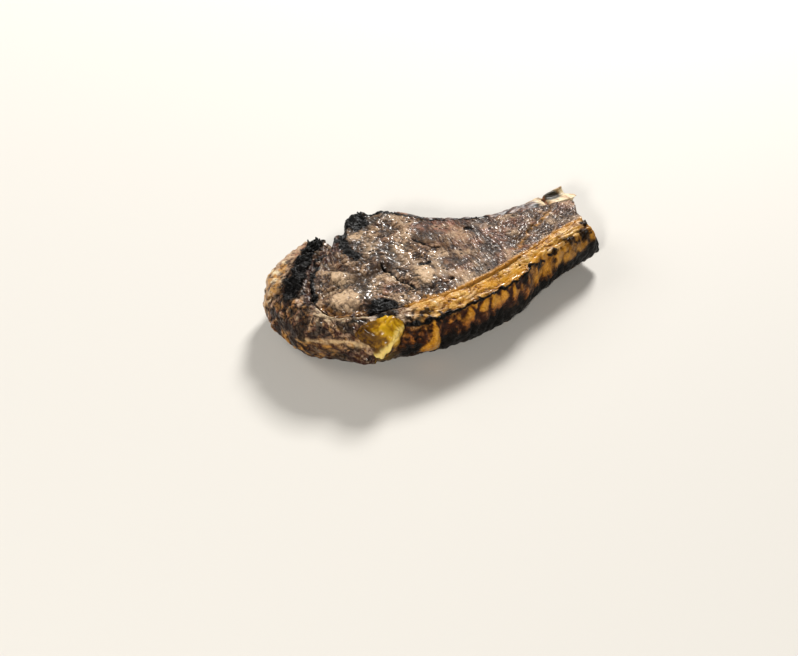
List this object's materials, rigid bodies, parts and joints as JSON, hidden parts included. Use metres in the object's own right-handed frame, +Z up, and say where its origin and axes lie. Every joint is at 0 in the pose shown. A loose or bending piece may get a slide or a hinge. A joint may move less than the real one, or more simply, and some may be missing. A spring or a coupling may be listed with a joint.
{
  "type": "bone-in beef rib steak",
  "caption": "Grilled bone-in rib steak lying flat: round charred head, long tail, yellow fat along one edge and a bare sawn rib along the other.",
  "frame": {"origin": "middle of the base of the box round the whole steak, on the surface it lies on", "axes": "+X from the round head to the sawn end of the rib, +Y to the rib side, +Z up"},
  "size_m": [0.2438, 0.14, 0.043],
  "materials": {
    "meat": "grilled crust, grey brown with black char and a thin gloss of fat",
    "cap": "grilled crust, brown and tan with a black charred trench",
    "fat": "roasted beef fat, golden and tan, charred at its edge",
    "soft_fat": "soft melted beef fat, bright yellow and glossy",
    "bone": "sawn rib bone, ivory with scorched spots"
  },
  "bodies": {
    "root": {"meat": "meat", "cap": "cap", "fat_band": "fat", "fat_lump": "soft_fat", "rib_bone": "bone"}
  },
  "joints": []
}
